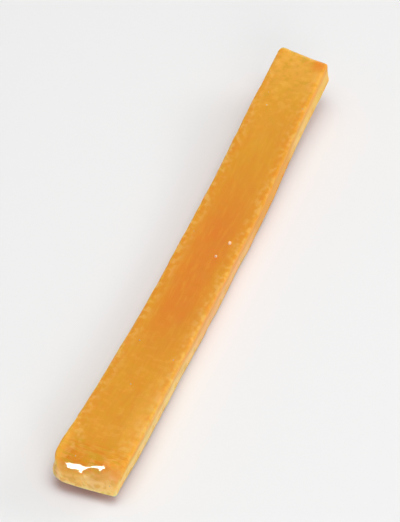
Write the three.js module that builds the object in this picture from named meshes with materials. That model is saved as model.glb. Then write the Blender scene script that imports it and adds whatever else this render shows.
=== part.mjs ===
// A strip of candied orange peel, as it lies on a table with its rind down and its pith up.
// It is one piece: a flat bar cut with a knife from the peel of an orange and cooked in syrup.
// +X runs along the strip from its wide foot end to its narrow head end, and +Z is up.
// The origin is on the table, under the middle of the strip. All sizes are in millimetres.
import * as THREE from "three";
import { mergeVertices } from "three/addons/utils/BufferGeometryUtils.js";

// Driving dimensions
const STRIP_LENGTH = 86.3;
const FOOT_WIDTH = 9.1;
const HEAD_WIDTH = 8;
const PEEL_THICKNESS = 3.8;

// How the strip has curled up from the table as it dried, with its pith inside the curl.
const FOOT_LIFT = 1.5;
const HEAD_LIFT = 3.6;
const CURL_POWER = 2.2;
const SIDE_BOW = 0.52;
const FOOT_TWIST_DEGREES = 3;
const HEAD_TWIST_DEGREES = -6;

// The last part of the head end also turns a little to the right.
const HEAD_TURN = 0.6;
const HEAD_TURN_REACH = 16;

// The knife cuts
const FOOT_SLANT_DEGREES = -4;
const HEAD_SLANT_DEGREES = 11;
const WAIST = 0.23;
const KNIFE_WANDER = 0.11;
const CUT_HOLLOW = 0.14;

// The radius, seen from above, of the left corner of each end. The right corners are sharp.
const FOOT_CORNER = 2.6;
const HEAD_CORNER = 1.3;

// The top of the foot end is rounded over like a nose.
const NOSE_REACH = 2;
const NOSE_HEIGHT = 0.9;

// It also sinks towards its two corners, more on the left than on the right.
const CORNER_REACH = 5;
const LEFT_DROP = 1.8;
const RIGHT_DROP = 0.5;

// On the right, the cut of the foot end leans back, by this much at its upper edge.
const FOOT_LEAN = 1.3;

// The upper edge of the foot end is wavy.
const EDGE_WAVE = 0.15;
const EDGE_WAVE_LENGTH = 4;
const EDGE_WAVE_START = 0.4;

// The two skins of the peel
const RIND_CROWN = 0.28;
const PITH_DISH = 0.24;
const PITH_SWELL = 0.1;
const THICKNESS_SWELL = 0.12;

// How far the syrup has rounded the edges, measured along, across and up the strip
const PITH_ROUNDING = new THREE.Vector3(1, 0.5, 0.85);
const RIND_ROUNDING = new THREE.Vector3(0.5, 0.4, 0.45);

// The large oil glands, which show as small pits all over the rind. The knife cuts between them
// anywhere, so their rows don't have to fill the width.
const PITS_LONG = 49;
const PITS_WIDE = 4.6;
const PIT_RADIUS = 0.88;
const PIT_DEPTH = 0.2;
const PIT_JITTER = 0.35;

// The underside is pressed flat where it bears on the table.
const REST_FLAT = 0.14;

// Steps of the surface. The steps along the strip are odd in number, so that the diagonals of its
// faces can take turns in both directions.
const STEPS_LONG = 135;
const STEPS_WIDE = 15;
const STEPS_THICK = 4;
const EDGE_CROWDING = 0.35;

const { lerp, clamp, degToRad, smoothstep } = THREE.MathUtils;

// A repeatable number from 0 to 1 for each pair of whole numbers.
function scatter(i, j) {
  const s = Math.sin(i * 127.1 + j * 311.7) * 43758.5453;
  return s - Math.floor(s);
}

// A slow, uneven wave from -1 to 1 along the strip. Each phase gives another wave.
function wander(x, phase) {
  return (
    0.55 * Math.sin(x * 0.11 + phase) +
    0.3 * Math.sin(x * 0.27 + 2.3 * phase) +
    0.15 * Math.sin(x * 0.61 + 4.1 * phase)
  );
}

// Crowds the steps of the surface towards the edges, where it turns.
const crowd = (s) => s + (EDGE_CROWDING * Math.sin(Math.PI * s)) / Math.PI;

// How deep the pits are at a place on the rind, from its two shares, each from -1 to 1.
function pitDepth(u, v) {
  const column = ((u + 1) / 2) * PITS_LONG;
  const row = ((v + 1) / 2) * PITS_WIDE;
  const columnStep = STRIP_LENGTH / PITS_LONG;
  const rowStep = lerp(FOOT_WIDTH, HEAD_WIDTH, (u + 1) / 2) / PITS_WIDE;
  let depth = 0;
  for (let i = Math.round(column) - 1; i <= Math.round(column) + 1; i++) {
    const stagger = i % 2 ? 0.5 : 0;
    for (let j = Math.round(row - stagger) - 1; j <= Math.round(row - stagger) + 1; j++) {
      const turn = 2 * Math.PI * scatter(i, j);
      const slip = PIT_JITTER * scatter(j, i + 7);
      const alongX = (column - i) * columnStep - slip * Math.cos(turn);
      const acrossY = (row - j - stagger) * rowStep - slip * Math.sin(turn);
      const radius = PIT_RADIUS * (0.75 + 0.5 * scatter(i + 3, j));
      const share = Math.max(0, 1 - (alongX * alongX + acrossY * acrossY) / (radius * radius));
      depth += PIT_DEPTH * (0.5 + 0.9 * scatter(i, j + 5)) * share * share;
    }
  }
  return depth;
}

// A box point with the edges rounded. The rounding differs between pith and rind.
function rounded(u, v, w, half) {
  const radius = RIND_ROUNDING.clone().lerp(PITH_ROUNDING, smoothstep(w, -1, 1));
  const outer = new THREE.Vector3(u * half.x, v * half.y, w * half.z);
  const inner = new THREE.Vector3(
    clamp(outer.x, radius.x - half.x, half.x - radius.x),
    clamp(outer.y, radius.y - half.y, half.y - radius.y),
    clamp(outer.z, radius.z - half.z, half.z - radius.z),
  );
  return outer.sub(inner).divide(radius).normalize().multiply(radius).add(inner);
}

// Rounds the left corner of one end, seen from above. The end is -1 for the foot and 1 for the head.
function roundCorner(p, half, end, radius) {
  const along = clamp((end * p.x - half.x) / radius + 1, 0, 1);
  const across = clamp((p.y - half.y) / radius + 1, 0, 1);
  p.x += end * radius * along * (Math.sqrt(1 - (across * across) / 2) - 1);
  p.y += radius * across * (Math.sqrt(1 - (along * along) / 2) - 1);
}

// Climbs from 0 at low to 1 at high, straight in the middle and eased over a fifth at each end.
function slope(value, low, high) {
  const t = clamp((value - low) / (high - low), 0, 1);
  const near = Math.min(t, 1 - t);
  const climb = near < 0.2 ? (near * near) / 0.32 : (near - 0.1) / 0.8;
  return t < 0.5 ? climb : 1 - climb;
}

// How far the top of the foot end sinks.
function footDrop(p, half) {
  const fromEnd = p.x + half.x;
  const aside = p.y / half.y;
  const nose = clamp(1 - fromEnd / NOSE_REACH, 0, 1);
  const corner = clamp(1 - fromEnd / CORNER_REACH, 0, 1) ** 2;
  const left = LEFT_DROP * slope(aside, -0.75, 0.85);
  const right = RIGHT_DROP * smoothstep(-aside, 0.5, 1);
  return NOSE_HEIGHT * (1 - Math.sqrt(1 - nose * nose)) + corner * (left + right);
}

// The strip before it curls: a straight bar with its knife cuts, crowned rind and dished pith.
function barPoint(u, v, w) {
  const share = (u + 1) / 2;
  const x = (u * STRIP_LENGTH) / 2;
  const half = new THREE.Vector3(
    STRIP_LENGTH / 2,
    (lerp(FOOT_WIDTH, HEAD_WIDTH, share) - WAIST * (1 - u * u)) / 2,
    (PEEL_THICKNESS + THICKNESS_SWELL * wander(x, 1.7)) / 2,
  );
  const p = rounded(u, v, w, half);
  const middle = 1 - v * v;
  const pith = Math.max(0, w);
  const rind = Math.max(0, -w);

  roundCorner(p, half, -1, FOOT_CORNER);
  roundCorner(p, half, 1, HEAD_CORNER);
  const high = (p.z / half.z + 1) / 2;
  p.z -= footDrop(p, half) * high;
  const end = clamp(1 - (p.x + half.x) / CORNER_REACH, 0, 1);
  const wave = Math.cos((2 * Math.PI * (p.y - EDGE_WAVE_START)) / EDGE_WAVE_LENGTH);
  p.x += end * high * (FOOT_LEAN * slope(-p.y / half.y, -0.9, 0.9) - EDGE_WAVE * wave);
  p.y += KNIFE_WANDER * wander(x, v > 0 ? 0.4 : 3.1) * Math.abs(v);
  p.y -= Math.sign(v) * CUT_HOLLOW * Math.abs(v) ** 3 * (1 - w * w);
  p.z -= pith * middle * (PITH_DISH + PITH_SWELL * wander(1.6 * x + 1.3 * p.y, 0.9));
  p.z -= rind * middle * RIND_CROWN;
  if (w <= -1) {
    const fade = 1 - smoothstep(Math.abs(v), 0.8, 1);
    p.z += pitDepth(u, v) * fade * (1 - smoothstep(Math.abs(u), 0.97, 1));
  }
  const slant = lerp(FOOT_SLANT_DEGREES, HEAD_SLANT_DEGREES, share);
  p.x += p.y * Math.tan(degToRad(slant));
  return p;
}

// The centre line's place, slope and twist at a share of the length from -1 to 1.
function curl(share) {
  const lift = share < 0 ? FOOT_LIFT : HEAD_LIFT;
  const reach = Math.abs(share);
  const rise = (lift * CURL_POWER * reach ** (CURL_POWER - 1) * Math.sign(share)) / (STRIP_LENGTH / 2);
  const twist = (share < 0 ? FOOT_TWIST_DEGREES : HEAD_TWIST_DEGREES) * share * share;
  const turned = Math.max(0, 1 - ((1 - share) * STRIP_LENGTH) / 2 / HEAD_TURN_REACH);
  const aside = SIDE_BOW * (share * share - 1) - HEAD_TURN * turned * turned;
  return { height: lift * reach ** CURL_POWER, aside, rise, twist };
}

// The strip as it lies, before it is set on the table.
function peelPoint(u, v, w) {
  const p = barPoint(u, v, w);
  const share = p.x / (STRIP_LENGTH / 2);
  const line = curl(share);
  p.applyAxisAngle(new THREE.Vector3(1, 0, 0), degToRad(line.twist));
  const lean = Math.atan(line.rise);
  return new THREE.Vector3(
    p.x - p.z * Math.sin(lean),
    p.y + line.aside,
    p.z * Math.cos(lean) + line.height,
  );
}

// Turns the diagonal of every other face of a box, so that the pits show no slant.
function takeTurns(index) {
  for (let k = 6; k + 6 <= index.count; k += 12) {
    index.setX(k + 2, index.getX(k + 4));
    index.setX(k + 3, index.getX(k));
  }
}

function makePeelGeometry() {
  const box = new THREE.BoxGeometry(2, 2, 2, STEPS_LONG, STEPS_WIDE, STEPS_THICK);
  takeTurns(box.index);
  box.deleteAttribute("normal");
  box.deleteAttribute("uv");
  const geometry = mergeVertices(box, 1e-5);
  const position = geometry.getAttribute("position");
  for (let i = 0; i < position.count; i++) {
    const [u, v, w] = [position.getX(i), position.getY(i), position.getZ(i)];
    const p = peelPoint(u, crowd(v), crowd(w));
    position.setXYZ(i, p.x, p.y, p.z);
  }
  geometry.computeBoundingBox();
  const { min, max } = geometry.boundingBox;
  geometry.translate(-(min.x + max.x) / 2, -(min.y + max.y) / 2, -min.z - REST_FLAT);
  for (let i = 0; i < position.count; i++) position.setZ(i, Math.max(0, position.getZ(i)));
  geometry.computeVertexNormals();
  return geometry;
}

const candiedPeel = new THREE.MeshStandardMaterial({
  color: 0xe5963a,
  roughness: 0.3,
  metalness: 0,
});

const peelStrip = new THREE.Mesh(makePeelGeometry(), candiedPeel);
peelStrip.name = "peel_strip";

const orangePeel = new THREE.Group();
orangePeel.add(peelStrip);

export default orangePeel;
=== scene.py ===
# %% [markdown]
# # A strip of candied orange peel
# The real strip is a bar of peel, cut from an orange with a knife and cooked in syrup until its white
# pith has turned to clear amber jelly. It lies with the pith up and the rind down, and its two ends
# have curled a little off the table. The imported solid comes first, because every piece below has to
# sit where that solid is.

import math

import bmesh
import bpy
import numpy as np
from mathutils import Matrix, Vector


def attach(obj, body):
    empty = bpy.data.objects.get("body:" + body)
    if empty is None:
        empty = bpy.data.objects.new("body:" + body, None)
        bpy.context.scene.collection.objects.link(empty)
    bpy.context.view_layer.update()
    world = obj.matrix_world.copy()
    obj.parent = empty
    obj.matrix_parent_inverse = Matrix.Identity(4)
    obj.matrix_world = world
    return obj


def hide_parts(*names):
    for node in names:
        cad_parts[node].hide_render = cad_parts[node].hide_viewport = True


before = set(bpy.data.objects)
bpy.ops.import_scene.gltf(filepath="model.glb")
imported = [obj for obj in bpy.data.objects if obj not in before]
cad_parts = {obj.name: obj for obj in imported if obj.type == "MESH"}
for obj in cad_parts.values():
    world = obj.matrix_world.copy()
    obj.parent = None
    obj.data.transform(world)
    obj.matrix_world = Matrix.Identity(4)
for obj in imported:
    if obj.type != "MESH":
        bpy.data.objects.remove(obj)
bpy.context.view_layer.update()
NODE = "peel_strip"

# %% [markdown]
# ## Camera
# The lines of perspective in the picture tell how the camera stood: it looked down by 43 degrees from
# a little under half a metre. The same direction, distance and roll are kept here. The camera could
# go nearer to show the strip larger, but that would change its perspective. A long lens brings it up
# close as cutting a small piece out of a picture would.

# %% Camera
PICTURE_HEIGHT = 522
SENSOR = 36.0
FOCAL_PIXELS = 3215
HEADING = math.radians(15.1)
LOOK_DOWN = math.radians(43.0)
ROLL = math.radians(6.6)
DISTANCE = 0.43
TARGET = Vector((0.0001, 0.00005, 0.003))

sight = Vector(
    (
        math.cos(LOOK_DOWN) * math.cos(HEADING),
        math.cos(LOOK_DOWN) * math.sin(HEADING),
        -math.sin(LOOK_DOWN),
    )
)
camera_data = bpy.data.cameras.new("camera")
camera_data.sensor_width = SENSOR
camera_data.lens = SENSOR * FOCAL_PIXELS / PICTURE_HEIGHT
camera = bpy.data.objects.new("camera", camera_data)
bpy.context.collection.objects.link(camera)
level = sight.to_track_quat("-Z", "Y").to_matrix()
turned = (level @ Matrix.Rotation(ROLL, 3, "Z")).to_4x4()
camera.matrix_world = Matrix.Translation(TARGET - sight * DISTANCE) @ turned
bpy.context.scene.camera = camera
print("the lens is", round(camera_data.lens), "mm long")

# %% [markdown]
# ## Shader expressions
# A finish is easier to read as arithmetic than as a picture of wires. One small class stands for a
# wire, the output of a node, and gives it Python's operators, so `1 - mask` adds a Math node. Every
# other node comes from one method of the finish, which sets what kind of node it is first and fills
# its sockets afterwards.

# %% A wire between two nodes


class Wire:
    """One output of a shader node. Arithmetic on it adds Math nodes."""

    def __init__(self, finish, socket):
        self.finish = finish
        self.socket = socket

    def math(self, operation, first, second):
        return self.finish.add("ShaderNodeMath", {"operation": operation}, {0: first, 1: second})

    def __add__(self, other):
        return self.math("ADD", self, other)

    def __radd__(self, other):
        return self.math("ADD", other, self)

    def __sub__(self, other):
        return self.math("SUBTRACT", self, other)

    def __rsub__(self, other):
        return self.math("SUBTRACT", other, self)

    def __mul__(self, other):
        return self.math("MULTIPLY", self, other)

    def __rmul__(self, other):
        return self.math("MULTIPLY", other, self)


# %% A finish in the making


def in_use(sockets, name):
    """The socket that is in use under a name, because some nodes keep several of each name."""
    return next(s for s in sockets if s.enabled and s.name == name)


class Finish:
    """A material in the making."""

    def __init__(self, name):
        self.material = bpy.data.materials.new(name)
        self.material.use_nodes = True
        self.tree = self.material.node_tree
        self.tree.nodes.clear()

    def add(self, kind, settings, sockets, output=None):
        """Adds a node with its settings, then its sockets' values or wires, and gives one output."""
        node = self.tree.nodes.new(kind)
        for name, value in settings.items():
            setattr(node, name, value)
        for name, value in sockets.items():
            socket = node.inputs[name] if isinstance(name, int) else in_use(node.inputs, name)
            if isinstance(value, Wire):
                self.tree.links.new(value.socket, socket)
            else:
                socket.default_value = value
        if not node.outputs:
            return None
        return Wire(self, in_use(node.outputs, output) if output else node.outputs[0])

    def mix(self, share, first, second):
        """The first colour where share is 0 and the second where it is 1."""
        sockets = {"Factor": share, "A": first, "B": second}
        return self.add("ShaderNodeMix", {"data_type": "RGBA"}, sockets, "Result")

    def rise(self, value, low, high):
        """0 up to low, 1 from high on, and a smooth rise in between."""
        settings = {"interpolation_type": "SMOOTHSTEP"}
        sockets = {"Value": value, "From Min": low, "From Max": high}
        return self.add("ShaderNodeMapRange", settings, sockets, "Result")

    def band(self, value, start, full, fading, end):
        """1 from full to fading, 0 before start and after end, and smooth in between."""
        return self.rise(value, start, full) * (1 - self.rise(value, fading, end))

    def own_places(self):
        """Places in metres from the object's own origin."""
        return self.add("ShaderNodeTexCoord", {}, {}, "Object")

    def stretch(self, place, scale):
        """Places with each of their three numbers multiplied by its own scale."""
        settings = {"operation": "MULTIPLY"}
        return self.add("ShaderNodeVectorMath", settings, {0: place, 1: scale}, "Vector")

    def noise(self, place, scale, detail):
        """Soft random values around 0.5. The scale is a vector, so that they can be stretched."""
        sockets = {"Vector": self.stretch(place, scale), "Scale": 1.0, "Detail": detail}
        return self.add("ShaderNodeTexNoise", {}, sockets)

    def cells(self, place, scale):
        """How far each point is from the nearest of many scattered points."""
        sockets = {"Vector": self.stretch(place, scale), "Scale": 1.0}
        return self.add("ShaderNodeTexVoronoi", {}, sockets, "Distance")

    def surface(self, sockets):
        """Ends the finish with a Principled shader."""
        shader = self.add("ShaderNodeBsdfPrincipled", {}, sockets, "BSDF")
        self.add("ShaderNodeOutputMaterial", {}, {"Surface": shader})
        print("the finish", self.material.name, "has", len(self.tree.nodes), "nodes")


# %% [markdown]
# ## Paint
# A colour is chosen on a screen, in levels from 0 to 255, but light adds up in straight shares. A
# screen's levels follow a curve, so they have to be turned back before a shader can use them. The
# colour picker would do it by hand, and a function does it for every colour below.

# %% Paint
FULL_LEVEL = 255
DARK_END = 0.04045
DARK_SLOPE = 12.92
CURVE_OFFSET = 0.055
CURVE_POWER = 2.4


def light_share(level):
    """The share of white light that a screen gives at a level."""
    share = level / FULL_LEVEL
    if share < DARK_END:
        return share / DARK_SLOPE
    return ((share + CURVE_OFFSET) / (1 + CURVE_OFFSET)) ** CURVE_POWER


def paint(red, green, blue):
    """A colour as a shader wants it, from its three levels on a screen."""
    return (light_share(red), light_share(green), light_share(blue), 1.0)


print("half the levels of a screen give", round(light_share(FULL_LEVEL / 2), 2), "of its light")

# %% [markdown]
# ## Floor
# The strip needs a plain, pale table. A large flat sheet is enough, as the camera looks down and sees
# no horizon. A trace of unevenness in its roughness keeps it from looking like empty space. It lies a
# hair below zero, so that the strip's flat spot doesn't share its plane.

# %% Floor
FLOOR_SIZE = 3.0
FLOOR_GAP = 0.00002
TABLE_GREY = paint(232, 232, 232)
TABLE_GRAIN = (90.0, 90.0, 90.0)

bpy.ops.mesh.primitive_plane_add(size=FLOOR_SIZE)
floor = bpy.context.object
floor.name = "floor"
floor.location.z = -FLOOR_GAP
table_paint = Finish("table_paint")
table_grain = table_paint.noise(table_paint.own_places(), TABLE_GRAIN, 2.0)
table_paint.surface(
    {
        "Base Color": TABLE_GREY,
        "Roughness": 0.6 + 0.15 * table_grain,
        "Specular IOR Level": 0.0,
    }
)
floor.data.materials.append(table_paint.material)

# %% [markdown]
# ## Light
# Glossy food is lit by large soft boxes. A lamp in a scene can do two things apart that a real one
# does at once: light the peel, and show in its gloss. The box above and the one low on the right only
# light it, because their reflections would lay a grey veil on the pith and a hard line on the side
# edge. The box in front does both. The last one stands in front on the left and only shows in the
# gloss, as the white squiggle where the foot end rolls over. The room is a dim, even white, so that
# the top face keeps its deep amber.

# %% Light
ROOM_LIGHT = 0.29
WHITE = (1.0, 1.0, 1.0, 1.0)


def soft_box(name, place, width, height, power, lights=True, glosses=True):
    """A rectangular lamp that faces the strip. It can be kept out of the light or the gloss."""
    lamp = bpy.data.lights.new(name, "AREA")
    lamp.shape = "RECTANGLE"
    lamp.size = width
    lamp.size_y = height
    lamp.energy = power
    box = bpy.data.objects.new(name, lamp)
    box.location = place
    box.rotation_euler = (TARGET - Vector(place)).to_track_quat("-Z", "Y").to_euler()
    box.visible_diffuse = lights
    box.visible_glossy = glosses
    bpy.context.collection.objects.link(box)
    print(name, "gives", power, "W")


soft_box("box_above", (-0.03, -0.02, 0.52), 0.5, 0.5, 2.2, glosses=False)
soft_box("box_right", (0.42, -0.36, 0.26), 0.36, 0.12, 0.9, glosses=False)
soft_box("box_in_front", (-0.5, -0.3, 0.22), 0.3, 0.3, 0.9)
soft_box("box_for_gloss", (-0.33, 0.18, 0.33), 0.44, 0.18, 12.0, lights=False)

room = bpy.data.worlds.new("room")
room.use_nodes = True
background = room.node_tree.nodes["Background"]
background.inputs["Color"].default_value = WHITE
background.inputs["Strength"].default_value = ROOM_LIGHT
bpy.context.scene.world = room
bpy.context.scene.view_settings.view_transform = "Standard"

# %% [markdown]
# ## The form of the strip
# The strip is a bar with rounded edges whose ends have curled up as it dried. It could be sculpted by
# hand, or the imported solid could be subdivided, but both would blur its small pits. The solid was
# made by a rule, so the same rule is worked out here on a much finer lattice, and the strip keeps its
# exact form. Its sizes are in millimetres until its mesh is made. The foot is the end near the
# camera, and the head is the far end.

# %% Main sizes
LENGTH = 86.3
FOOT_WIDTH = 9.1
HEAD_WIDTH = 8.0
THICKNESS = 3.8
print("the bar is", LENGTH, "by", FOOT_WIDTH, "to", HEAD_WIDTH, "by", THICKNESS, "mm")

# %% Steps from one value to another
EASED_PART = 0.2


def between(low, high, share):
    """The value that lies a share of the way from low to high."""
    return low + (high - low) * share


def smooth(value, low, high):
    """0 up to low, 1 from high on, and a smooth rise in between."""
    share = np.clip((value - low) / (high - low), 0, 1)
    return share * share * (3 - 2 * share)


def slope(value, low, high):
    """Climbs from 0 at low to 1 at high, straight in the middle and eased at both ends."""
    share = np.clip((value - low) / (high - low), 0, 1)
    near = np.minimum(share, 1 - share)
    eased = near**2 / (2 * EASED_PART * (1 - EASED_PART))
    straight = (near - EASED_PART / 2) / (1 - EASED_PART)
    climb = np.where(near < EASED_PART, eased, straight)
    return np.where(share < 0.5, climb, 1 - climb)


print("a quarter of the way, a smooth step has done", float(smooth(0.25, 0, 1)), "of its rise")

# %% [markdown]
# ## Waves and scatter
# Nothing on a strip that was cut by hand is even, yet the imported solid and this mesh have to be
# uneven in the same way. Random numbers from a library would differ between the two, so the waves and
# the scatter come from sines, which give the same values everywhere.

# %% Waves
# Each wave has a height, a pitch along the strip and a share in the phase.
WAVES = ((0.55, 0.11, 1.0), (0.3, 0.27, 2.3), (0.15, 0.61, 4.1))


def wander(x, phase):
    """A slow, uneven wave from -1 to 1 along the strip. Each phase gives another wave."""
    return sum(height * np.sin(x * pitch + share * phase) for height, pitch, share in WAVES)


print("one wave at the foot, the middle and the head:", np.round(wander(np.array((-43, 0, 43)), 0), 2))

# %% Scatter
SCATTER_STEPS = (127.1, 311.7)
SCATTER_SPREAD = 43758.5453


def scatter(i, j):
    """A repeatable number from 0 to 1 for each pair of whole numbers."""
    spread = np.sin(i * SCATTER_STEPS[0] + j * SCATTER_STEPS[1]) * SCATTER_SPREAD
    return spread - np.floor(spread)


def lumps(x, y, seed):
    """Soft hills and hollows from -1 to 1, about one for each step of 1 in x and y."""
    i = np.floor(x)
    j = np.floor(y)
    aside = smooth(x - i, 0, 1)
    up = smooth(y - j, 0, 1)
    low = between(scatter(i + seed, j), scatter(i + 1 + seed, j), aside)
    high = between(scatter(i + seed, j + 1), scatter(i + 1 + seed, j + 1), aside)
    return 2 * between(low, high, up) - 1


print("four numbers of the scatter:", np.round(scatter(np.arange(4), 1), 2))

# %% [markdown]
# ## Oil glands
# The rind of an orange is full of small glands that hold its oil, and each of them leaves a pit. A
# boolean could cut a ball out for each, but a few hundred cuts are slow and leave ragged faces. Here
# each pit is a smooth bowl. The depth at a point adds up the bowls of the nearest pits, which stand in
# staggered rows, a little out of place, and differ in size as they do in nature.

# %% Oil gland pits
PITS_LONG = 49
PITS_WIDE = 4.6
PIT_RADIUS = 0.88
PIT_DEPTH = 0.2
PIT_JITTER = 0.35
STAGGER = 0.5
RADIUS_SPREAD = (0.75, 1.25)
DEPTH_SPREAD = (0.5, 1.4)
NEAREST = (-1, 0, 1)


def pit_depth(u, v):
    """How deep the pits are at places on the rind, given as shares from -1 to 1."""
    column = (u + 1) / 2 * PITS_LONG
    row = (v + 1) / 2 * PITS_WIDE
    column_step = LENGTH / PITS_LONG
    row_step = between(FOOT_WIDTH, HEAD_WIDTH, (u + 1) / 2) / PITS_WIDE
    depth = np.zeros_like(u)
    for step_long in NEAREST:
        i = np.round(column) + step_long
        stagger = STAGGER * (i % 2)
        for step_wide in NEAREST:
            j = np.round(row - stagger) + step_wide
            turn = 2 * np.pi * scatter(i, j)
            slip = PIT_JITTER * scatter(j, i + 7)
            along = (column - i) * column_step - slip * np.cos(turn)
            across = (row - j - stagger) * row_step - slip * np.sin(turn)
            radius = PIT_RADIUS * between(*RADIUS_SPREAD, scatter(i + 3, j))
            share = np.maximum(0, 1 - (along**2 + across**2) / radius**2)
            depth += PIT_DEPTH * between(*DEPTH_SPREAD, scatter(i, j + 5)) * share**2
    return depth


print("each row has", PITS_LONG, "pits,", round(LENGTH / PITS_LONG, 2), "mm apart")

# %% [markdown]
# ## Rounded edges
# The edges of the soft pith have rounded in the syrup more than those of the firm rind, and the two
# corners on the left are rounded off as seen from above. A bevel could round a box, but it gives all
# edges one width. Here each point moves to the surface of a ball or a roll inside the box, whose
# radius grows on the way from the rind to the pith.

# %% Rounded edges
PITH_ROUNDING = np.array((1.0, 0.5, 0.85))
RIND_ROUNDING = np.array((0.5, 0.4, 0.45))
FOOT_CORNER = 2.6
HEAD_CORNER = 1.3


def rounded(u, v, w, half):
    """Points of a box with rounded edges, which are rounder on the pith than on the rind."""
    radius = between(RIND_ROUNDING, PITH_ROUNDING, smooth(w, -1, 1)[:, None])
    outer = np.stack((u, v, w), axis=1) * half
    inner = np.clip(outer, radius - half, half - radius)
    arm = (outer - inner) / radius
    return inner + radius * arm / np.linalg.norm(arm, axis=1, keepdims=True)


def round_corner(p, half, end, radius):
    """Rounds the left corner of one end, from above. The end is -1 for the foot, 1 for the head."""
    along = np.clip((end * p[:, 0] - half[:, 0]) / radius + 1, 0, 1)
    across = np.clip((p[:, 1] - half[:, 1]) / radius + 1, 0, 1)
    p[:, 0] += end * radius * along * (np.sqrt(1 - across**2 / 2) - 1)
    p[:, 1] += radius * across * (np.sqrt(1 - along**2 / 2) - 1)


print("the edges are rounded by", RIND_ROUNDING.min(), "to", PITH_ROUNDING.max(), "mm")

# %% [markdown]
# ## The foot end
# The foot end shows best of all. Its top rolls over like a nose and sinks towards both corners, most
# on the left. Its upper edge is wavy, and on the right its cut leans back. Moving single corners of a
# mesh by hand could give this, but it would have to be done again after each change of size. So each
# of these forms is a formula that fades out away from the end.

# %% The foot end
NOSE_REACH = 2.0
NOSE_HEIGHT = 0.9
CORNER_REACH = 5.0
LEFT_DROP = 1.8
LEFT_DROP_SPAN = (-0.75, 0.85)
RIGHT_DROP = 0.5
RIGHT_DROP_SPAN = (0.5, 1)
FOOT_LEAN = 1.3
FOOT_LEAN_SPAN = (-0.9, 0.9)
EDGE_WAVE = 0.15
EDGE_WAVE_LENGTH = 4.0
EDGE_WAVE_START = 0.4


def foot_drop(p, half):
    """How far the top of the foot end sinks."""
    from_end = p[:, 0] + half[:, 0]
    aside = p[:, 1] / half[:, 1]
    nose = np.clip(1 - from_end / NOSE_REACH, 0, 1)
    corner = np.clip(1 - from_end / CORNER_REACH, 0, 1) ** 2
    left = LEFT_DROP * slope(aside, *LEFT_DROP_SPAN)
    right = RIGHT_DROP * smooth(-aside, *RIGHT_DROP_SPAN)
    return NOSE_HEIGHT * (1 - np.sqrt(1 - nose * nose)) + corner * (left + right)


def shape_foot(p, half):
    """Sinks the top of the foot end, leans its cut back and makes its upper edge wavy."""
    high = (p[:, 2] / half[:, 2] + 1) / 2
    p[:, 2] -= foot_drop(p, half) * high
    near_end = np.clip(1 - (p[:, 0] + half[:, 0]) / CORNER_REACH, 0, 1)
    wave = np.cos(2 * np.pi * (p[:, 1] - EDGE_WAVE_START) / EDGE_WAVE_LENGTH)
    lean = FOOT_LEAN * slope(-p[:, 1] / half[:, 1], *FOOT_LEAN_SPAN)
    p[:, 0] += near_end * high * (lean - EDGE_WAVE * wave)


print("the top of the foot end sinks by up to", round(NOSE_HEIGHT + LEFT_DROP, 1), "mm")

# %% [markdown]
# ## The cuts and the faces
# A knife wanders, and the inside of a cut shrinks as it dries, so the two long cuts are uneven and
# slightly hollow. The pith has sunk along its middle and swells a little here and there. The rind is
# crowned, as the fruit was, and has the pits. Textures in displace modifiers could push the faces
# about, but each form would need one. Here each of them is added to the bar by a line of its own.

# %% The cuts and the faces
KNIFE_WANDER = 0.11
LEFT_CUT_PHASE = 0.4
RIGHT_CUT_PHASE = 3.1
CUT_HOLLOW = 0.14
PITH_DISH = 0.24
PITH_SWELL = 0.1
SWELL_PITCH = (1.6, 1.3)
SWELL_PHASE = 0.9
RIND_CROWN = 0.28
PITS_FADE_ACROSS = (0.8, 1)
PITS_FADE_ALONG = (0.97, 1)


def shape_cuts(p, x, v, w):
    """Lets the two long cuts wander as the knife did, and hollows them."""
    side_wave = np.where(v > 0, wander(x, LEFT_CUT_PHASE), wander(x, RIGHT_CUT_PHASE))
    p[:, 1] += KNIFE_WANDER * side_wave * np.abs(v)
    p[:, 1] -= np.sign(v) * CUT_HOLLOW * np.abs(v) ** 3 * (1 - w * w)


def shape_faces(p, x, u, v, w):
    """Dishes the pith, crowns the rind and presses the pits into it."""
    middle = 1 - v * v
    swell = PITH_SWELL * wander(SWELL_PITCH[0] * x + SWELL_PITCH[1] * p[:, 1], SWELL_PHASE)
    p[:, 2] -= np.maximum(0, w) * middle * (PITH_DISH + swell)
    p[:, 2] -= np.maximum(0, -w) * middle * RIND_CROWN
    inside_edges = 1 - smooth(np.abs(v), *PITS_FADE_ACROSS)
    inside_ends = 1 - smooth(np.abs(u), *PITS_FADE_ALONG)
    p[:, 2] += np.where(w <= -1, pit_depth(u, v) * (inside_edges * inside_ends), 0)


print("the pith is dished by", PITH_DISH, "mm and the rind is crowned by", RIND_CROWN, "mm")

# %% The straight bar
WAIST = 0.23
THICKNESS_SWELL = 0.12
THICKNESS_PHASE = 1.7
FOOT_SLANT = math.radians(-4)
HEAD_SLANT = math.radians(11)


def bar_places(u, v, w):
    """Points of the bar before it curls, from their shares of -1 to 1 along, across and up."""
    share = (u + 1) / 2
    x = u * LENGTH / 2
    width = between(FOOT_WIDTH, HEAD_WIDTH, share) - WAIST * (1 - u * u)
    thickness = THICKNESS + THICKNESS_SWELL * wander(x, THICKNESS_PHASE)
    half = np.stack((np.full_like(u, LENGTH / 2), width / 2, thickness / 2), axis=1)
    p = rounded(u, v, w, half)
    round_corner(p, half, -1, FOOT_CORNER)
    round_corner(p, half, 1, HEAD_CORNER)
    shape_foot(p, half)
    shape_cuts(p, x, v, w)
    shape_faces(p, x, u, v, w)
    p[:, 0] += p[:, 1] * np.tan(between(FOOT_SLANT, HEAD_SLANT, share))
    return p


middle_width = between(FOOT_WIDTH, HEAD_WIDTH, 0.5) - WAIST
print("the middle of the bar is", round(middle_width, 2), "mm wide")

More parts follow.
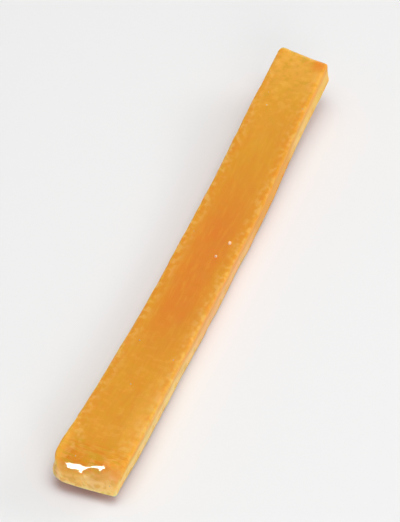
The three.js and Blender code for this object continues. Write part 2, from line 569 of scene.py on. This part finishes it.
# %% [markdown]
# ## The curl
# As the strip dried, its pith drew together more than its rind, so both ends rise. They twist a
# little too. The middle bows to the right, and the last stretch at the head turns to the right. A
# curve modifier could bend the bar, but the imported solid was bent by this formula, and the two have
# to agree.

# %% The curl
FOOT_LIFT = 1.5
HEAD_LIFT = 3.6
CURL_POWER = 2.2
FOOT_TWIST = math.radians(3)
HEAD_TWIST = math.radians(-6)
SIDE_BOW = 0.52
HEAD_TURN = 0.6
HEAD_TURN_REACH = 16.0


def curl(bar):
    """Bends and twists the straight bar into the strip as it dried."""
    half_length = LENGTH / 2
    share = bar[:, 0] / half_length
    reach = np.abs(share)
    lift = np.where(share < 0, FOOT_LIFT, HEAD_LIFT)
    rise = lift * CURL_POWER * reach ** (CURL_POWER - 1) * np.sign(share) / half_length
    lean = np.arctan(rise)
    turn = np.where(share < 0, FOOT_TWIST, HEAD_TWIST) * share**2
    y = bar[:, 1] * np.cos(turn) - bar[:, 2] * np.sin(turn)
    z = bar[:, 1] * np.sin(turn) + bar[:, 2] * np.cos(turn)
    turned = np.maximum(0, 1 - (1 - share) * half_length / HEAD_TURN_REACH)
    return np.stack(
        (
            bar[:, 0] - z * np.sin(lean),
            y + SIDE_BOW * (share**2 - 1) - HEAD_TURN * turned**2,
            z * np.cos(lean) + lift * reach**CURL_POWER,
        ),
        axis=1,
    )


print("the foot rises by", FOOT_LIFT, "mm and the head by", HEAD_LIFT, "mm")

# %% [markdown]
# ## The lattice
# The rule only says where a point goes, so it needs points to start from. A cube that is subdivided
# spends as many of them across as along. Here each direction of the box gets its own number of steps,
# and the steps crowd towards the long edges, where the form turns quickest. Neighbouring faces share
# their corners, so the mesh is closed.

# %% A fine lattice on the six faces of a box
STEPS = (480, 56, 30)
EDGE_CROWDING = 0.35


def box_lattice(steps):
    """The corners of a box's surface lattice as whole numbers, and the corners of each face."""
    corners = []
    for axis in range(3):
        first, second = (axis + 1) % 3, (axis + 2) % 3
        a, b = np.meshgrid(np.arange(steps[first]), np.arange(steps[second]), indexing="ij")
        for side in (0, steps[axis]):
            ring = ((0, 0), (1, 0), (1, 1), (0, 1)) if side else ((0, 0), (0, 1), (1, 1), (1, 0))
            for step_a, step_b in ring:
                corner = np.zeros((a.size, 3), dtype=int)
                corner[:, axis] = side
                corner[:, first] = a.ravel() + step_a
                corner[:, second] = b.ravel() + step_b
                corners.append(corner)
    quads = [np.stack(corners[k : k + 4], axis=1) for k in range(0, len(corners), 4)]
    flat = np.concatenate(quads).reshape(-1, 3)
    lattice, where = np.unique(flat, axis=0, return_inverse=True)
    return lattice, where.reshape(-1, 4)


lattice, faces = box_lattice(STEPS)
shares = 2 * lattice / np.array(STEPS) - 1
u = shares[:, 0]
v, w = (s + EDGE_CROWDING * np.sin(np.pi * s) / np.pi for s in shares[:, 1:].T)
bar = bar_places(u, v, w)
places = curl(bar)
print("the lattice has", len(places), "corners and", len(faces), "faces")

# %% [markdown]
# ## Fine relief
# Up close the strip isn't smooth. The pith has soft lengthwise fibres and shallow dimples, wrinkles
# where it rolls over at the foot, and soft ridges across the head. The knife left faint lines on the
# cut sides, and small pores fill the rind between the large glands. Bump in the finish could give
# most of this, but a mesh that is exported without its finish would lose it, and the highlights sit
# better on a real form. So the relief is moved in the mesh, along its normals, and only the finest
# grain is left to bump.

# %% Which way each corner faces
MILLIMETRE = 0.001
FACING = (0.25, 0.85)


def mesh_of(name, corners, polygons):
    """A mesh in metres from corners in millimetres."""
    mesh = bpy.data.meshes.new(name)
    mesh.from_pydata((corners * MILLIMETRE).tolist(), [], polygons.tolist())
    mesh.update()
    return mesh


def read_vectors(collection, name, count):
    """One vector for each corner of a mesh, as a table of three columns."""
    values = np.empty(count * 3)
    collection.foreach_get(name, values)
    return values.reshape(-1, 3)


bare = mesh_of("bare", places, faces)
normals = read_vectors(bare.vertex_normals, "vector", len(places))
bpy.data.meshes.remove(bare)
pith_side = smooth(normals[:, 2], *FACING)
rind_side = smooth(-normals[:, 2], *FACING)
cut_side = 1 - pith_side - rind_side
print("corners on the pith:", int(pith_side.sum()), "and on the rind:", int(rind_side.sum()))

# %% Fine relief
# Each kind has a height, lumps for each millimetre in two directions, and a seed.
FIBRES = (0.012, 0.35, 2.3, 11)
DIMPLES = (0.03, 0.9, 0.9, 5)
WRINKLES = (0.03, 0.9, 0.75, 23)
HEAD_RIDGES = (0.035, 0.85, 0.4, 29)
KNIFE_LINES = (0.014, 0.2, 4.5, 31)
CUT_LUMPS = (0.04, 0.7, 0.9, 37)
PORES = (1.0, 2.1, 2.1, 41)
PORE_DEPTH = 0.03
PORE_SPAN = (0.2, 0.8)
WRINKLE_REACH = 5.0
HEAD_RIDGE_REACH = 12.0
FOOT_CALM = 0.7


def relief_of(kind, first, second):
    """One kind of relief, in millimetres, over two directions of the strip."""
    height, first_pitch, second_pitch, seed = kind
    return height * lumps(first * first_pitch, second * second_pitch, seed)


x, y, z = bar.T
at_foot = 1 - smooth(x + LENGTH / 2, 0, WRINKLE_REACH)
at_head = 1 - smooth(LENGTH / 2 - x, 0, HEAD_RIDGE_REACH)
pith_relief = relief_of(FIBRES, x, y) + relief_of(DIMPLES, x, y)
pith_relief += at_foot * relief_of(WRINKLES, x, y)
pith_relief += at_head * relief_of(HEAD_RIDGES, x, y)
cut_relief = relief_of(KNIFE_LINES, x, z) + relief_of(CUT_LUMPS, x, z)
cut_relief *= 1 - FOOT_CALM * at_foot
rind_relief = -PORE_DEPTH * smooth(relief_of(PORES, x, y), *PORE_SPAN)
relief = pith_side * pith_relief + cut_side * cut_relief + rind_side * rind_relief
print("the relief runs from", round(relief.min(), 3), "to", round(relief.max(), 3), "mm")

# %% [markdown]
# ## On the table
# A soft, sticky strip settles where it bears on the table, so its lowest part is pressed flat. A
# boolean with the floor could cut it off, but lifting the low corners up to the table gives the same
# form and keeps the mesh closed. The relief fades out just above the table, so that the flat spot
# stays flat.

# %% Lay the strip on the table
REST_FLAT = 0.14
RELIEF_FADE = 0.15

middle = (places.min(axis=0) + places.max(axis=0)) / 2
ground = places[:, 2].min() + REST_FLAT
places -= (middle[0], middle[1], ground)
relief *= smooth(places[:, 2], 0.0, RELIEF_FADE)
places += normals * relief[:, None]
places[:, 2] = np.maximum(0, places[:, 2])

strip = bpy.data.objects.new("strip", mesh_of("strip", places, faces))
bpy.context.collection.objects.link(strip)
strip.data.shade_smooth()
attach(strip, "root")
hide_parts(NODE)
print("the strip is", np.round(places.max(axis=0) - places.min(axis=0), 2), "mm")

# %% [markdown]
# ## Numbers for the finish
# The colour of the real strip depends on the place: how near a cut is, how far up from the rind, and
# how deep in a pit. Masks could be painted by hand, but the rule has these numbers already. Each
# corner of the mesh keeps them, and the finish reads them by their names.

# %% Tell the finish where it is
half_width = between(FOOT_WIDTH, HEAD_WIDTH, (u + 1) / 2) / 2
from_end = LENGTH / 2 - np.abs(x - y * np.tan(FOOT_SLANT))
KEPT_NUMBERS = {
    "from_cut": np.minimum(half_width - np.abs(y), from_end),
    "through": (w + 1) / 2,
    "gland": np.where(w <= -1, pit_depth(u, v) / PIT_DEPTH, 0),
    "pith_side": pith_side,
    "rind_side": rind_side,
}
for name, values in KEPT_NUMBERS.items():
    kept = strip.data.attributes.new(name, "FLOAT", "POINT")
    kept.data.foreach_set("value", values.astype(np.float32))
    print(name, "runs from", round(values.min(), 2), "to", round(values.max(), 2))
kept_bar = strip.data.attributes.new("bar", "FLOAT_VECTOR", "POINT")
kept_bar.data.foreach_set("vector", bar.astype(np.float32).ravel())

# %% [markdown]
# ## The candied peel's finish
# Cooked peel is a clear jelly with a deep orange skin. Light goes in, wanders and comes out again, so
# subsurface scattering does most of the work, with red going furthest. A clear coat stands for the
# dried syrup. One amber all over would look like plastic, so the colour is laid on in thin layers,
# each where the real strip has it.

# %% Colours of the peel
AMBER = paint(216, 148, 40)
GOLD = paint(224, 162, 52)
BLUSH = paint(217, 124, 40)
# A dark amber for the painted shade just behind the rolled-over foot end.
SHADE_AMBER = paint(208, 122, 18)
CREAM = paint(234, 190, 112)
PALE_CREAM = paint(246, 214, 152)
OLIVE = paint(202, 154, 34)
# Peach for the middle of the cut sides, partly their own tone and partly a painted reflection of
# orange peel lying beside the strip.
PEACH_AND_REFLECTION = paint(240, 162, 100)
HONEY = paint(238, 180, 80)
BURNT = paint(222, 128, 24)
TOFFEE = paint(227, 144, 50)
SHELL = paint(250, 200, 122)
RIND = paint(216, 98, 20)
RIND_PALE = paint(232, 138, 44)
print("amber is", [round(share, 2) for share in AMBER[:3]], "of red, green and blue light")

# %% Read the numbers that the mesh keeps
peel = Finish("candied_peel")


def stored(name, output="Fac"):
    """What the mesh keeps for each corner under a name."""
    return peel.add("ShaderNodeAttribute", {"attribute_name": name}, {}, output)


bar_place = stored("bar", "Vector")
along = peel.add("ShaderNodeSeparateXYZ", {}, {"Vector": bar_place}, "X")
across = peel.add("ShaderNodeSeparateXYZ", {}, {"Vector": bar_place}, "Y")
depth_through = stored("through")
edge_distance = stored("from_cut")
gland_depth = stored("gland")
on_pith = stored("pith_side")
on_rind = stored("rind_side")
print("so far the finish has", len(peel.tree.nodes), "nodes")

# %% [markdown]
# ## Uneven colour
# Pith is a mat of fine threads that soak up syrup unevenly, so its colour drifts and has streaks and
# flecks. Noise gives all of them. Stretched noise looks like threads, and the same noise is used for
# the pith and the cuts, so that a fleck carries on around an edge.

# %% Uneven colour


def uneven(scale, detail):
    """Noise over the straight bar, with its lumps for each millimetre along, across and up."""
    return peel.noise(bar_place, scale, detail)


cloud = uneven((0.07, 0.3, 0.3), 2.0)
streak = uneven((0.35, 2.6, 2.6), 4.0)
fleck = uneven((1.0, 1.2, 1.2), 1.0)
stroke = uneven((2.2, 0.4, 0.4), 2.0)
lump = uneven((1.3, 0.9, 0.9), 2.0)
grain_line = uneven((0.25, 2.0, 2.4), 3.0)
print("so far the finish has", len(peel.tree.nodes), "nodes")

# %% [markdown]
# ## Regions of the strip
# Syrup gathers and dries unevenly, so most regions of the strip have another colour. One of them,
# foot_shade, is painted shade: a darker band on the top just behind the rolled-over foot end. A
# painted mask for each would have to be redrawn after a change. Here a region is a number that is 1
# inside, 0 outside and smooth in between, so regions can be multiplied, and `1 - region` is the rest.
# Along the bar a place goes from -43 at the foot to 43 at the head, and across from -4.5 on the right
# to 4.5 on the left.

# %% Regions
near_foot = 1 - peel.rise(along, -41.0, -33.0)
near_head = peel.rise(along, 20.0, 43.0)
mid_length = peel.band(along, -24.0, -8.0, 6.0, 22.0)
lower_half = 1 - peel.rise(along, -12.0, 6.0)
# Painted shade: the band just behind the rolled-over foot end, which the pith layers darken.
foot_shade = peel.band(along, -43.2, -42.2, -39.8, -37.2)
foot_face = 1 - peel.rise(along, -42.6, -41.4)
amber_reach = peel.band(along, 5.0, 13.0, 24.0, 32.0)
on_right = 1 - peel.rise(across, -4.0, -2.4)
on_left = peel.rise(across, 2.8, 4.0)
lower_right = (1 - peel.rise(along, -34.0, -14.0)) * (1 - peel.rise(across, -3.6, -0.6))
foot_right = (1 - peel.rise(along, -42.4, -40.4)) * (1 - peel.rise(across, -2.8, -1.4))
head_corner = peel.rise(along, 39.6, 41.4) * (1 - peel.rise(across, -2.6, -1.2))
print("so far the finish has", len(peel.tree.nodes), "nodes")

# %% [markdown]
# ## Layers of colour
# The pith is amber, with a blush in the middle of the strip, gold at the head and low on the right,
# and pale flecks near the cuts. Colour ramps could give a few of these, but many thin layers are
# easier to tell apart and to change. Each layer is a share and a colour, and the layers are laid on
# from the first to the last, as thin coats of paint are.

# %% Colour of the pith face


def lay_on(side, base, layers):
    """Lays colours over the base of one side, each with its share, from the first to the last."""
    for share, colour in layers:
        base = peel.mix(share, base, colour)
    print("layers of colour on the", side, "are", len(layers))
    return base


inside = peel.rise(edge_distance + 2.0 * cloud - 1.0, 0.6, 3.2)
at_border = 1 - peel.rise(edge_distance - 1.5 * near_foot, 0.5, 2.2)
lumpy = near_head + 0.4 * lower_half * (1 - mid_length)
orange_fleck = (1 - near_head) * (1 - near_foot) * (1 - peel.rise(fleck, 0.3, 0.5))

pith_colour = lay_on(
    "pith",
    AMBER,
    (
        (0.85 * near_head + 0.15 * peel.rise(cloud, 0.5, 0.7), GOLD),
        (0.75 * mid_length * inside, BLUSH),
        (0.15 * on_right * (0.2 + 0.8 * lower_half), CREAM),
        (0.5 * lower_right * (1 - 0.7 * near_foot), HONEY),
        (0.3 * peel.rise(streak, 0.5, 0.7), GOLD),
        (0.22 * (1 - peel.rise(streak, 0.3, 0.5)), BLUSH),
        (0.35 * at_border * peel.rise(fleck, 0.45, 0.65), CREAM),
        (0.3 * at_border * orange_fleck, BLUSH),
        # Painted shade just behind the rolled-over foot end: dark amber strokes, with olive streaks
        # between them.
        (0.4 * foot_shade * peel.rise(stroke, 0.52, 0.6), SHADE_AMBER),
        (0.75 * foot_shade * (1 - peel.rise(stroke, 0.38, 0.48)), OLIVE),
        (0.4 * peel.rise(along, 33.0, 41.0), HONEY),
        (0.5 * lumpy * peel.rise(lump, 0.5, 0.68), HONEY),
        (0.5 * lumpy * (1 - peel.rise(lump, 0.3, 0.48)), OLIVE),
        (0.5 * near_foot * on_left, HONEY),
        (0.6 * foot_right, CREAM),
        (0.45 * near_head * on_left, BURNT),
        (0.6 * head_corner, BURNT),
    ),
)

# %% [markdown]
# ## The cut sides
# A cut shows the peel from the rind to the pith: an orange line, a row of opened glands, a cream band
# and amber above it. The band isn't straight, because the syrup went in unevenly, so the depth gets
# some noise before the regions are read from it.

# %% Colour of the cut sides
ragged = depth_through + 0.16 * (fleck - 0.5) + 0.1 * (cloud - 0.5)
near_pith = peel.rise(ragged, 0.45, 0.8) * (1 - foot_face)
near_rind = 1 - peel.rise(ragged, 0.02, 0.2)
low_band = (1 - peel.rise(ragged, 0.4, 0.65)) * (1 - near_head) * (1 - amber_reach)
gland_row = peel.band(ragged, 0.08, 0.16, 0.32, 0.42)
cut_glands = 1 - peel.rise(peel.cells(bar_place, (0.8, 0.8, 0.6)), 0.3, 0.45)
pale_fleck = peel.rise(fleck, 0.5, 0.7) * (1 - foot_face) * (1 - near_head) * (1 - amber_reach)

cut_colour = lay_on(
    "cuts",
    CREAM,
    (
        # Partly the cuts' own tone, partly a painted reflection of orange peel lying beside the strip.
        (mid_length, PEACH_AND_REFLECTION),
        (0.9 * amber_reach, TOFFEE),
        (0.85 * peel.rise(along, 24.0, 34.0), HONEY),
        (0.8 * near_pith, TOFFEE),
        (0.6 * low_band * (1 - 0.6 * mid_length), SHELL),
        (0.35 * near_rind * (1 - foot_face), RIND_PALE),
        (0.8 * foot_face * (1 - peel.rise(ragged, 0.12, 0.4)), PALE_CREAM),
        (0.4 * foot_face * peel.rise(fleck, 0.5, 0.62), OLIVE),
        (0.7 * foot_face * peel.rise(stroke, 0.52, 0.6), PALE_CREAM),
        (0.55 * gland_row * cut_glands, GOLD),
        (0.4 * peel.rise(grain_line, 0.5, 0.65) * (1 - foot_face), GOLD),
        (0.4 * (1 - 0.7 * mid_length) * pale_fleck, CREAM),
    ),
)

# %% Colour of the rind
rind_colour = lay_on(
    "rind",
    RIND,
    (
        (peel.rise(fleck, 0.35, 0.7), RIND_PALE),
        (0.6 * peel.rise(gland_depth, 0.1, 0.9), GOLD),
    ),
)

# %% [markdown]
# ## Gloss
# The syrup has dried to a clear coat: thick on the pith, thinner on the rind and thin on the cuts. At
# the foot it has soaked in at both sides, which ends the white squiggle where the real one ends. The
# jelly below is a little hazy in places. The highlight itself could be painted, but then it would
# stay in its place when the camera moves.

# %% The whole finish
JELLY_IOR = 1.45
LIGHT_TRAVEL = (1.0, 0.42, 0.12)
LIGHT_REACH = 0.0022
GRAIN_STRENGTH = 0.35
GRAIN_DEPTH = 0.00008

haze = uneven((0.5, 0.9, 0.9), 4.0)
dry_sides = 1 - peel.rise(across, -2.2, -1.7) + peel.rise(across, 3.3, 3.8)
dry_patch = near_foot * dry_sides
grain_sockets = {
    "Strength": GRAIN_STRENGTH,
    "Distance": GRAIN_DEPTH,
    "Height": uneven((2.5, 6.0, 6.0), 5.0),
}
peel.surface(
    {
        "Base Color": peel.mix(on_rind, peel.mix(on_pith, cut_colour, pith_colour), rind_colour),
        "Roughness": 0.3 + 0.25 * peel.rise(haze, 0.45, 0.75),
        "Normal": peel.add("ShaderNodeBump", {}, grain_sockets, "Normal"),
        "IOR": JELLY_IOR,
        "Subsurface Weight": 1.0,
        "Subsurface Radius": LIGHT_TRAVEL,
        "Subsurface Scale": LIGHT_REACH,
        "Specular IOR Level": 0.0,
        "Coat Weight": (0.25 + 0.65 * on_pith) * (1 - dry_patch) + 0.35 * on_rind,
        "Coat Roughness": 0.06,
        "Coat IOR": JELLY_IOR,
    }
)
strip.data.materials.append(peel.material)

# %% [markdown]
# ## Sugar grains
# A few grains of sugar stick to the syrup and sparkle. Each is a small block with cut edges.
# Particles would be lost when the model is exported, so one block is made, and turned and scaled
# copies of it are joined in one mesh by arrays. The draw is seeded, and the two grains that show best
# get a place of their own near the middle.

# %% One grain of sugar
GRAIN_BEVEL = 0.22

block = bmesh.new()
bmesh.ops.create_cube(block, size=1.0)
bmesh.ops.bevel(block, geom=block.edges[:], offset=GRAIN_BEVEL, segments=1, affect="EDGES")
bmesh.ops.triangulate(block, faces=block.faces[:])
block_corners = np.array([corner.co[:] for corner in block.verts])
block_faces = np.array([[corner.index for corner in face.verts] for face in block.faces])
block.free()
print("a grain has", len(block_faces), "triangles")

# %% Scatter the grains
GRAIN_COUNT = 18
GRAIN_SIZE = (0.08, 0.18)
GRAIN_STRETCH = ((0.7, 0.7, 0.7), (1.1, 1.1, 1.1))
GRAIN_SEED = 7
LOWEST_GRAIN = 1.2
# Each large grain has a place along, a place across and a size.
LARGE_GRAINS = ((1.0, -1.9, 0.42), (4.1, -2.7, 0.5))
# A corner off the pith counts as this many millimetres further from a large grain's place.
OFF_PITH = 10
# The middle of a grain stands this share of its size above the surface.
GRAIN_STAND = 0.2

draw = np.random.default_rng(GRAIN_SEED)


def turned_block(place, normal, size):
    """A copy of the block, turned at random and sunk a little into the surface."""
    axes, _ = np.linalg.qr(draw.normal(size=(3, 3)))
    stretched = block_corners * size * draw.uniform(*GRAIN_STRETCH)
    return stretched @ axes.T + place + normal * size * GRAIN_STAND


open_air = np.flatnonzero(places[:, 2] > LOWEST_GRAIN)
picks = [(k, draw.uniform(*GRAIN_SIZE)) for k in draw.choice(open_air, GRAIN_COUNT, replace=False)]
for grain_x, grain_y, size in LARGE_GRAINS:
    away = np.hypot(places[:, 0] - grain_x, places[:, 1] - grain_y) + OFF_PITH * (1 - pith_side)
    picks.append((int(np.argmin(away)), size))
grains = np.concatenate([turned_block(places[k], normals[k], size) for k, size in picks])
grain_faces = np.concatenate([block_faces + n * len(block_corners) for n in range(len(picks))])

sugar = bpy.data.objects.new("sugar", mesh_of("sugar", grains, grain_faces))
bpy.context.collection.objects.link(sugar)
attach(sugar, "root")
print("there are", len(picks), "grains of sugar")

# %% [markdown]
# ## Sugar's finish
# A grain of sugar is a clear crystal, but a dusty and scratched one. Pure glass would show only the
# amber behind it, so half of the light goes through, and the other half comes back nearly white.

# %% Sugar's finish
SUGAR_IOR = 1.54
SUGAR_WHITE = paint(255, 250, 238)
SUGAR_CREAM = paint(255, 238, 205)
FROST_GRAIN = (9000.0, 9000.0, 9000.0)

crystal = Finish("sugar_crystal")
frost = crystal.noise(crystal.own_places(), FROST_GRAIN, 2.0)
crystal.surface(
    {
        "Base Color": crystal.mix(frost, SUGAR_WHITE, SUGAR_CREAM),
        "Roughness": 0.05 + 0.2 * frost,
        "IOR": SUGAR_IOR,
        "Transmission Weight": 0.5,
    }
)
sugar.data.materials.append(crystal.material)
